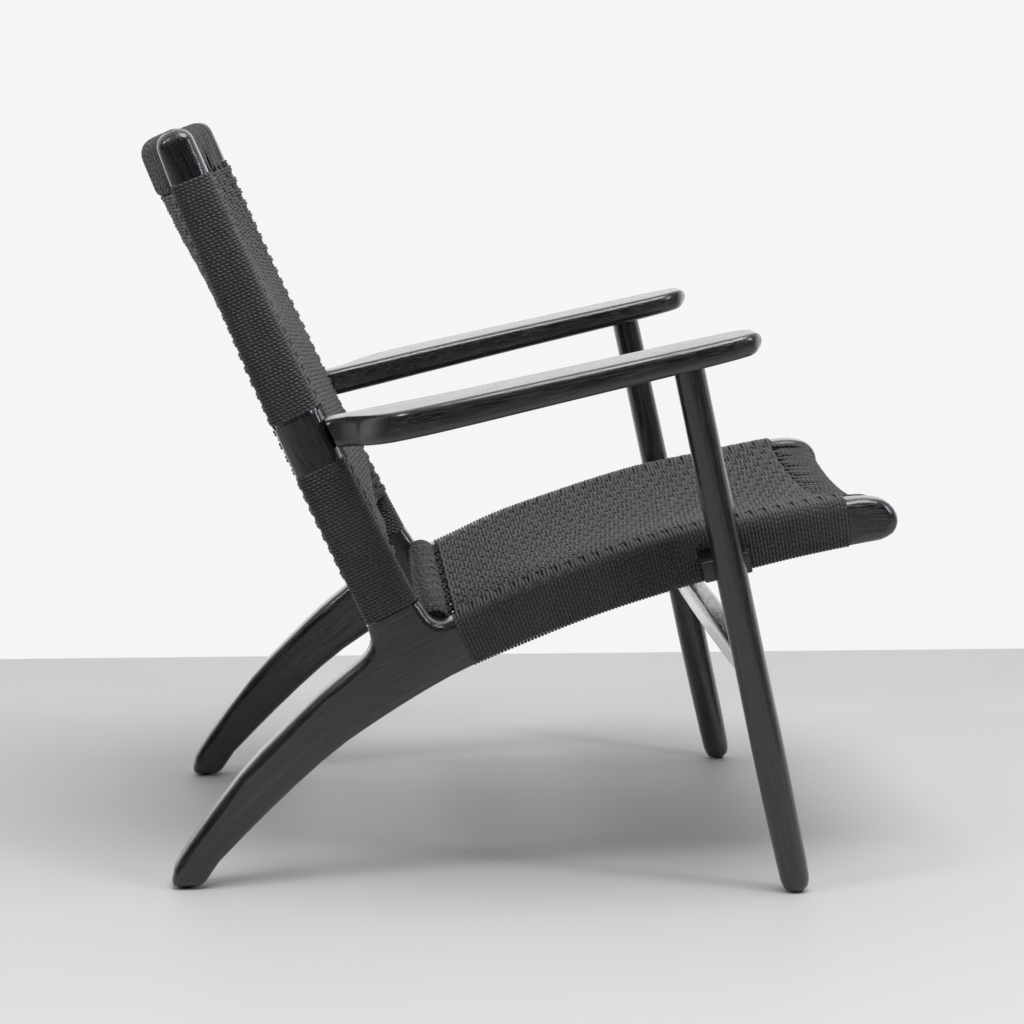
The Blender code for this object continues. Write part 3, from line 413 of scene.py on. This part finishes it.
def back_weft(j):
    pair = j // 2
    s = 0.0006 + R + (TOP_BARE - 0.0012 - 2 * R) * j / (BACK_ROWS - 1)
    reach = float(lookup(STILE_WIDTHS, s)) / 2 - REBATE + SKIN
    outer = SIDE_X + STILE_THICK / 2 - REBATE + SKIN
    bare = ARM_BARE[0] - R < s < ARM_BARE[1] + R
    lean = math.radians(LEAN - BEND * s)
    ref = np.array([0.0, math.sin(lean), math.cos(lean)])
    field = 0.0445 < s < 0.446
    paths = []

    def lift(loop, woven):
        x, n = loop[:, 0], loop[:, 1]
        along = s + 0 * x
        if woven:
            rise = weave_sign(x, pair) * WEFT_RISE * (1 + 0.12 * math.sin(j * 1.3))
            front = back_layer(x, along, True) - rise
            rear = back_layer(x, along, False) + rise
            inside = np.abs(x) < SIDE_X - STILE_THICK / 2
            flat = np.abs(n) > reach * 0.97
            rail = np.where(flat, np.maximum(rise, 0), 0) * np.sign(n)
            n = np.where(inside & flat, np.where(n < 0, front, rear), n + rail * ~inside)
            along = along + np.where(inside, 0.00025 * np.sin(x * 90 + j * 1.9), 0)
        return back_point(x, along, n)

    if field:
        half = SIDE_X - STILE_THICK / 2 - SKIN if bare else outer
        loop = rounded_loop(half, 0.0088, -reach, reach)
        fine = resample(np.column_stack([loop, 0 * loop[:, 0]]), 0.0041, True)
        paths.append((soften(lift(fine, True), 1), ref, True))
    else:
        inner = SIDE_X - STILE_THICK / 2 + REBATE - SKIN
        for side in (-1, 1):
            loop = rounded_loop(outer, 0.0088, -reach, reach, inner)
            fine = resample(np.column_stack([side * loop[:, 0], loop[:, 1], 0 * loop[:, 0]]), 0.0035, True)
            paths.append((soften(lift(fine, False), 1), ref, True))
    return paths


def back_rail_loop(rail):
    """(across, along) loop of the cord's middle round a back rail, tighter where it runs into the field."""
    size, s = (TOP_RAIL, TOP_RAIL_S) if rail == "top" else (LOW_RAIL, LOW_RAIL_S)
    half, high = size[0] / 2 + SKIN, size[1] / 2 + SKIN
    round_end = rounded_loop(half, min(0.0145, half - 0.0004), -high, high, None, 6)
    reach = 0.0034
    field_end = rounded_loop(half, 0.0035, -high - reach, high + reach, None, 6)
    if rail == "top":
        return np.vstack([round_end[:7], field_end[7:21], round_end[21:]]), s
    return np.vstack([field_end[:7], round_end[7:21], field_end[21:]]), s


def back_cross_wraps(rail):
    loop, at = back_rail_loop(rail)
    field = -1 if rail == "top" else 1
    paths = []
    for slot in SLOT_RANGE:
        if is_warp(slot):
            continue
        fine = resample(np.column_stack([loop, 0 * loop[:, 0]]), 0.0028, True)
        weight = smooth((field * fine[:, 1] + 0.006) / 0.030)
        x = np.array([bunch(slot, w) for w in weight])
        s = at + fine[:, 1]
        n = fine[:, 0] * (1 + 0.025 * math.sin(slot * 2.7)) + bow(x, at + 0 * s)
        paths.append((soften(back_point(x, s, n), 1), np.array([1.0, 0, 0]), True))
    return paths


def back_warps(pairs):
    paths = []
    for k in pairs:
        for half in (-0.5, 0.5):
            slot = k * SLOTS + half
            x = slot * SLOT
            s_up = np.linspace(0.052, 0.438, 130)
            front = np.stack([back_layer(x + 0 * s_up, s_up, True) - bow(x, s_up), s_up], -1)
            loop, at = back_rail_loop("top")
            top = ring_order(loop, -125)[:-4] + (0, at)
            s_down = s_up[::-1]
            rear = np.stack([back_layer(x + 0 * s_down, s_down, False) - bow(x, s_down), s_down], -1)
            loop, at = back_rail_loop("low")
            low = ring_order(loop, 55)[:-4] + (0, at)
            ring = np.vstack([front, top, rear, low])
            fine = resample(np.column_stack([ring, 0 * ring[:, 0]]), 0.0022, True)
            fine = soften(fine, 4)
            n, s = fine[:, 0], fine[:, 1]
            j = (s - 0.0006 - R) / (TOP_BARE - 0.0012 - 2 * R) * (BACK_ROWS - 1) + 0.5
            inside = smooth((s - 0.046) / 0.006) * smooth((0.444 - s) / 0.006)
            swing = np.cos(np.pi * ((j - 1) / 2 + k)) * WARP_RISE * inside
            n = np.where(n < 0, n + swing, n - swing)
            near_rail = np.maximum(smooth((s - 0.425) / 0.02) * smooth((0.475 - s) / 0.01),
                                   smooth((0.065 - s) / 0.02) * smooth((s - 0.022) / 0.01))
            xs = np.array([bunch(slot, w) for w in near_rail])
            points = back_point(xs, s, n + bow(xs, s))
            paths.append((points, np.array([1.0, 0, 0]), True))
    return paths


# ------------------------------------------------------------------ materials
def new_material(name):
    material = bpy.data.materials.new(name)
    material.use_nodes = True
    tree = material.node_tree
    return material, tree, tree.nodes["Principled BSDF"]


def node(tree, kind, **settings):
    made = tree.nodes.new(kind)
    for key, value in settings.items():
        if hasattr(made, key):
            setattr(made, key, value)
        else:
            made.inputs[key].default_value = value
    return made


def link(tree, a, b):
    tree.links.new(a, b)


def math_node(tree, operation, a, b=None, c=None):
    made = tree.nodes.new("ShaderNodeMath")
    made.operation = operation
    for i, value in enumerate((a, b, c)):
        if value is None:
            continue
        if isinstance(value, (int, float)):
            made.inputs[i].default_value = value
        else:
            tree.links.new(value, made.inputs[i])
    return made.outputs[0]


def ramp(tree, source, stops):
    made = tree.nodes.new("ShaderNodeValToRGB")
    elements = made.color_ramp.elements
    while len(elements) < len(stops):
        elements.new(0.5)
    for element, (at, value) in zip(elements, stops):
        element.position = at
        element.color = (*value, 1) if isinstance(value, tuple) else (value, value, value, 1)
    tree.links.new(source, made.inputs[0])
    return made.outputs[0]


def noise(tree, vector, scale, detail=3.0, roughness=0.5, distortion=0.0):
    made = node(tree, "ShaderNodeTexNoise", Scale=scale, Detail=detail, Roughness=roughness, Distortion=distortion)
    tree.links.new(vector, made.inputs["Vector"])
    return made.outputs["Fac"]


def mix_color(tree, fac, a, b):
    made = tree.nodes.new("ShaderNodeMix")
    made.data_type = "RGBA"
    for socket, value in ((made.inputs[0], fac), (made.inputs[6], a), (made.inputs[7], b)):
        if isinstance(value, tuple):
            socket.default_value = (*value, 1)
        elif isinstance(value, (int, float)):
            socket.default_value = value
        else:
            tree.links.new(value, socket)
    return made.outputs[2]


def cord_material(name, tint, seed):
    """Dark twisted paper cord: three plies with painted shade in the grooves between them, dry surface, a little
    colour change from length to length.
    """
    material, tree, shader = new_material(name)
    uv = node(tree, "ShaderNodeUVMap", uv_map="cord").outputs[0]
    split = tree.nodes.new("ShaderNodeSeparateXYZ")
    link(tree, uv, split.inputs[0])
    phase = math_node(tree, "MULTIPLY_ADD", split.outputs[0], 3 / 0.0145, math_node(tree, "MULTIPLY", split.outputs[1], 3))
    ply_and_groove_shade = math_node(tree, "ABSOLUTE", math_node(tree, "SINE", math_node(tree, "MULTIPLY", phase, math.pi)))
    where = tree.nodes.new("ShaderNodeTexCoord").outputs["Object"]
    stretched = node(tree, "ShaderNodeMapping")
    stretched.inputs["Location"].default_value = (seed, seed * 2, 0)
    link(tree, where, stretched.inputs["Vector"])
    broad = noise(tree, stretched.outputs[0], 22, 3)
    fibre_map = node(tree, "ShaderNodeMapping")
    fibre_map.inputs["Scale"].default_value = (260, 9, 1)
    link(tree, uv, fibre_map.inputs["Vector"])
    fibre = noise(tree, fibre_map.outputs[0], 1.0, 4, 0.65)
    dark = tuple(c * 0.55 for c in tint)
    light = tuple(c * 1.8 for c in tint)
    body = mix_color(tree, broad, dark, light)
    # painted shade: the grooves between the plies are darkened towards 0.15 of the tint
    body = mix_color(tree, ramp(tree, ply_and_groove_shade, ((0.0, 0.85), (0.55, 0.0))), body, tuple(c * 0.15 for c in tint))
    body = mix_color(tree, ramp(tree, fibre, ((0.50, 0.0), (0.75, 0.5))), body, tuple(c * 3.0 for c in tint))
    link(tree, body, shader.inputs["Base Color"])
    link(tree, ramp(tree, fibre, ((0.3, 0.52), (0.7, 0.68))), shader.inputs["Roughness"])
    shader.inputs["Specular IOR Level"].default_value = 0.42
    shader.inputs["Sheen Weight"].default_value = 0.12
    shader.inputs["Sheen Roughness"].default_value = 0.5
    height = math_node(tree, "MULTIPLY_ADD", fibre, 0.25, ply_and_groove_shade)
    bump = node(tree, "ShaderNodeBump", Strength=0.9, Distance=0.0009)
    link(tree, height, bump.inputs["Height"])
    link(tree, bump.outputs[0], shader.inputs["Normal"])
    return material


def wood_material(name, angle=0.0, curve=None, across="Z", seed=0.0, roughness=0.3):
    """Black-stained open-grained oak under satin lacquer. Grain runs along Y turned by angle about X, or
    follows a (Y, Z) curve."""
    material, tree, shader = new_material(name)
    where = tree.nodes.new("ShaderNodeTexCoord").outputs["Object"]
    if curve:
        split = tree.nodes.new("ShaderNodeSeparateXYZ")
        link(tree, where, split.inputs[0])
        spot = math_node(tree, "MULTIPLY_ADD", split.outputs[1], 1 / 0.8, 0.5)
        line = tree.nodes.new("ShaderNodeFloatCurve")
        points = line.mapping.curves[0].points
        rows = [(y / 0.8 + 0.5, z / 0.5) for y, z in curve]
        while len(points) < len(rows):
            points.new(0.5, 0.5)
        for point, (a, b) in zip(points, rows):
            point.location = (a, b)
        line.mapping.update()
        link(tree, spot, line.inputs["Value"])
        rise = math_node(tree, "MULTIPLY_ADD", line.outputs[0], -0.5, split.outputs[2])
        joined = tree.nodes.new("ShaderNodeCombineXYZ")
        link(tree, split.outputs[0], joined.inputs[0])
        link(tree, split.outputs[1], joined.inputs[1])
        link(tree, math_node(tree, "MULTIPLY", rise, 0.8), joined.inputs[2])
        local = joined.outputs[0]
    else:
        turned = node(tree, "ShaderNodeMapping")
        turned.inputs["Rotation"].default_value = (angle, 0, 0) if across == "Z" else (0, 0, angle)
        link(tree, where, turned.inputs["Vector"])
        local = turned.outputs[0]

    def stretched(scale_across, scale_along, offset):
        made = node(tree, "ShaderNodeMapping")
        made.inputs["Location"].default_value = (seed + offset, seed * 1.7, offset)
        made.inputs["Scale"].default_value = (scale_across, scale_along, scale_across)
        link(tree, local, made.inputs["Vector"])
        return made.outputs[0]

    warp = noise(tree, stretched(14, 3, 1.0), 1.0, 2)
    figure = noise(tree, stretched(60, 1.6, 2.0), 1.0, 3, 0.6, 0.4)
    bend = math_node(tree, "MULTIPLY_ADD", warp, 0.5, figure)
    rings = math_node(tree, "SINE", math_node(tree, "MULTIPLY", bend, 60))
    ring_line_and_sheen = ramp(tree, rings, ((0.70, 0.0), (0.99, 1.0)))
    pores = noise(tree, stretched(1100, 34, 3.0), 1.0, 2, 0.6)
    pore_and_sheen_mask = ramp(tree, pores, ((0.54, 0.0), (0.68, 1.0)))
    streaks = noise(tree, stretched(260, 6, 4.0), 1.0, 3, 0.6)
    body = mix_color(tree, ramp(tree, streaks, ((0.35, 0.0), (0.70, 1.0))), (0.0035, 0.0035, 0.0040), (0.011, 0.011, 0.0125))
    # partly painted sheen: ring lines and pores are coloured lighter grey for the gloss catching on the grain; the
    # grain pattern itself is the wood's own
    body = mix_color(tree, math_node(tree, "MULTIPLY", ring_line_and_sheen, 0.40), body, (0.030, 0.030, 0.033))
    body = mix_color(tree, math_node(tree, "MULTIPLY", pore_and_sheen_mask, 0.55), body, (0.036, 0.036, 0.039))
    link(tree, body, shader.inputs["Base Color"])
    rough = math_node(tree, "MULTIPLY_ADD", pore_and_sheen_mask, 0.22, math_node(tree, "MULTIPLY_ADD", streaks, 0.16, roughness - 0.08))
    link(tree, rough, shader.inputs["Roughness"])
    shader.inputs["Specular IOR Level"].default_value = 0.35
    shader.inputs["Coat Weight"].default_value = 0.95
    shader.inputs["Coat Roughness"].default_value = 0.12
    shader.inputs["Coat IOR"].default_value = 1.5
    grooves = math_node(tree, "MULTIPLY_ADD", pore_and_sheen_mask, -1.0, math_node(tree, "MULTIPLY", ring_line_and_sheen, -0.6))
    wavy = math_node(tree, "MULTIPLY_ADD", streaks, 0.8, grooves)
    bump = node(tree, "ShaderNodeBump", Strength=0.45, Distance=0.00035)
    link(tree, wavy, bump.inputs["Height"])
    link(tree, bump.outputs[0], shader.inputs["Normal"])
    coat_bump = node(tree, "ShaderNodeBump", Strength=0.16, Distance=0.0003)
    link(tree, wavy, coat_bump.inputs["Height"])
    link(tree, coat_bump.outputs[0], shader.inputs["Coat Normal"])
    return material


def plain_material(name, color, roughness, grain):
    material, tree, shader = new_material(name)
    where = tree.nodes.new("ShaderNodeTexCoord").outputs["Object"]
    fine = noise(tree, where, grain, 3)
    link(tree, mix_color(tree, fine, tuple(c * 0.7 for c in color), tuple(c * 1.3 for c in color)),
         shader.inputs["Base Color"])
    shader.inputs["Roughness"].default_value = roughness
    bump = node(tree, "ShaderNodeBump", Strength=0.2, Distance=0.0002)
    link(tree, fine, bump.inputs["Height"])
    link(tree, bump.outputs[0], shader.inputs["Normal"])
    return material


BOARD_LINE = ((-0.40, 0.352), (-0.35, 0.3515), (-0.28, 0.343), (-0.17, 0.317), (-0.08, 0.290), (0.0, 0.2615),
              (0.05, 0.2385), (0.10, 0.215), (0.146, 0.190), (0.19, 0.155), (0.23, 0.120), (0.27, 0.080),
              (0.30, 0.045), (0.34, 0.0))
WOODS = {}
for side, seed in (("right", 0.0), ("left", 5.0)):
    WOODS["leg_and_rail_" + side] = wood_material("board_" + side, curve=BOARD_LINE, seed=seed)
    WOODS["back_stile_" + side] = wood_material("stile_" + side, angle=math.radians(-65), seed=seed + 1)
    WOODS["front_leg_" + side] = wood_material("leg_" + side, angle=math.radians(-77.6), seed=seed + 2)
    WOODS["armrest_" + side] = wood_material("arm_" + side, angle=math.radians(12.2), seed=seed + 3)
    WOODS["leg_block_" + side] = wood_material("block_" + side, angle=math.radians(13), seed=seed + 4)
    WOODS["leg_dowel_" + side] = plain_material("dowel_" + side, (0.16, 0.10, 0.05), 0.6, 400)
RAIL_WOOD = wood_material("rail_oak", angle=math.radians(90), across="X", seed=9.0)
for name in ("back_top_rail", "back_low_rail", "seat_front_rail", "seat_rear_rail", "front_stretcher"):
    WOODS[name] = RAIL_WOOD
PLASTIC = plain_material("glide_black", (0.02, 0.02, 0.02), 0.45, 900)


def smooth_group():
    """Geometry nodes that shade faces smooth except across sharp edges."""
    group = bpy.data.node_groups.new("shade_by_angle", "GeometryNodeTree")
    group.interface.new_socket("Geometry", in_out="INPUT", socket_type="NodeSocketGeometry")
    group.interface.new_socket("Geometry", in_out="OUTPUT", socket_type="NodeSocketGeometry")
    start, end = group.nodes.new("NodeGroupInput"), group.nodes.new("NodeGroupOutput")
    faces = group.nodes.new("GeometryNodeSetShadeSmooth")
    edges = group.nodes.new("GeometryNodeSetShadeSmooth")
    edges.domain = "EDGE"
    edges.inputs["Shade Smooth"].default_value = False
    angle = group.nodes.new("GeometryNodeInputMeshEdgeAngle")
    wide = group.nodes.new("FunctionNodeCompare")
    wide.data_type, wide.operation = "FLOAT", "GREATER_THAN"
    wide.inputs[1].default_value = math.radians(38)
    group.links.new(start.outputs[0], faces.inputs[0])
    group.links.new(faces.outputs[0], edges.inputs[0])
    group.links.new(angle.outputs[0], wide.inputs[0])
    group.links.new(wide.outputs[0], edges.inputs["Selection"])
    group.links.new(edges.outputs[0], end.inputs[0])
    return group


SMOOTH = smooth_group()
for name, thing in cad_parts.items():
    material = WOODS.get(name, PLASTIC if "glide" in name else None)
    if material is None:
        continue
    thing.data.materials[0] = material
    weld = thing.modifiers.new("weld", "WELD")
    weld.merge_threshold = 0.00001
    shade = thing.modifiers.new("shade", "NODES")
    shade.node_group = SMOOTH
    weighted = thing.modifiers.new("weighted", "WEIGHTED_NORMAL")
    weighted.keep_sharp = True

# ------------------------------------------------------------------ cord pieces
SEAT_CORD = cord_material("seat_cord", (0.030, 0.0295, 0.033), 0.0)
BACK_CORD = cord_material("back_cord", (0.030, 0.029, 0.032), 3.0)
# painted light: the wrap cords get a browner, less blue tint than the seat and back cords, standing in for a warm
# cast of light on the rail wraps
WRAP_CORD = cord_material("wrap_cord", (0.029, 0.027, 0.028), 6.0)


def in_parts(base, rows, make, count, material, slot, node_name):
    for i in range(count):
        chosen = rows[i * len(rows) // count:(i + 1) * len(rows) // count]
        paths = [path for row in chosen for path in make(row)]
        place(f"{base}_{i + 1}", paths, material, slot, node_name)


in_parts("seat_weft", list(range(SEAT_ROWS)), seat_weft, 3, SEAT_CORD, "cord_seat", "seat_weave")
in_parts("back_weft", list(range(BACK_ROWS)), back_weft, 4, BACK_CORD, "cord_back", "back_weave")
for i, pairs in enumerate((WARPS[:10], WARPS[10:])):
    place(f"seat_warp_{i + 1}", seat_warps(pairs), SEAT_CORD, "cord_seat", "seat_weave")
    place(f"back_warp_{i + 1}", back_warps(pairs), BACK_CORD, "cord_back", "back_weave")
place("front_rail_winding", seat_cross_wraps("front"), WRAP_CORD, "cord_wrap", "seat_front_wrap")
place("rear_rail_winding", seat_cross_wraps("rear"), WRAP_CORD, "cord_wrap", "seat_rear_wrap")
place("top_rail_winding", back_cross_wraps("top"), WRAP_CORD, "cord_wrap", "back_top_wrap")
place("low_rail_winding", back_cross_wraps("low"), WRAP_CORD, "cord_wrap", "back_low_wrap")

# ------------------------------------------------------------------ floor, light, camera
floor_mesh = bpy.data.meshes.new("floor")
floor_mesh.from_pydata([(-4, -3.5, 0), (1.0, -3.5, 0), (1.0, 3.5, 0), (-4, 3.5, 0)], [], [(0, 1, 2, 3)])
floor = bpy.data.objects.new("floor", floor_mesh)
bpy.context.scene.collection.objects.link(floor)
floor_material, floor_tree, floor_shader = new_material("floor")
floor_shader.inputs["Base Color"].default_value = (0.50, 0.495, 0.49, 1)
floor_shader.inputs["Roughness"].default_value = 0.6
floor_mesh.materials.append(floor_material)


def area_light(name, location, target, size, power, color=(1, 1, 1)):
    light = bpy.data.lights.new(name, "AREA")
    light.shape = "RECTANGLE"
    light.size, light.size_y = size
    light.energy = power
    light.color = color
    thing = bpy.data.objects.new(name, light)
    thing.location = location
    thing.rotation_euler = (Vector(target) - Vector(location)).to_track_quat("-Z", "Y").to_euler()
    bpy.context.scene.collection.objects.link(thing)


area_light("overhead", (-1.0, -0.3, 3.3), (0, 0, 0.3), (2.0, 2.0), 100)
area_light("window", (-2.0, -2.8, 2.0), (0, 0, 0.4), (0.5, 1.4), 34, (0.84, 0.92, 1.0))
area_light("lamp", (-1.6, 2.2, 2.6), (0, 0, 0.4), (0.7, 0.5), 22, (0.94, 0.97, 1.0))

world = bpy.data.worlds.new("studio")
bpy.context.scene.world = world
world.use_nodes = True
tree = world.node_tree
toward = tree.nodes.new("ShaderNodeTexCoord").outputs["Generated"]
parts = tree.nodes.new("ShaderNodeSeparateXYZ")
link(tree, toward, parts.inputs[0])
behind = ramp(tree, math_node(tree, "MULTIPLY_ADD", parts.outputs[0], 0.5, 0.5), ((0.42, 0.03), (0.66, 1.0)))
above = ramp(tree, parts.outputs[2], ((0.35, 0.0), (0.9, 0.30)))
glow = math_node(tree, "MAXIMUM", behind, above)
rays = tree.nodes.new("ShaderNodeLightPath").outputs["Is Camera Ray"]
seen = math_node(tree, "ADD", math_node(tree, "MULTIPLY", rays, 0.93),
                 math_node(tree, "MULTIPLY", math_node(tree, "SUBTRACT", 1.0, rays), glow))
back = tree.nodes["Background"]
back.inputs["Color"].default_value = (0.975, 0.985, 1.0, 1)
link(tree, seen, back.inputs["Strength"])

camera_data = bpy.data.cameras.new("camera")
camera = bpy.data.objects.new("camera", camera_data)
bpy.context.scene.collection.objects.link(camera)
bpy.context.scene.camera = camera
camera_data.sensor_width = 36
camera_data.lens = 112.37
YAW, PITCH = -0.0587, 0.1316
camera.location = (-3.27, 0.183, 0.7604)
ahead = Vector((math.cos(PITCH) * math.cos(YAW), math.cos(PITCH) * math.sin(YAW), -math.sin(PITCH)))
camera.rotation_mode = "QUATERNION"
camera.rotation_quaternion = ahead.to_track_quat("-Z", "Y")
bpy.context.scene.view_settings.view_transform = "Standard"
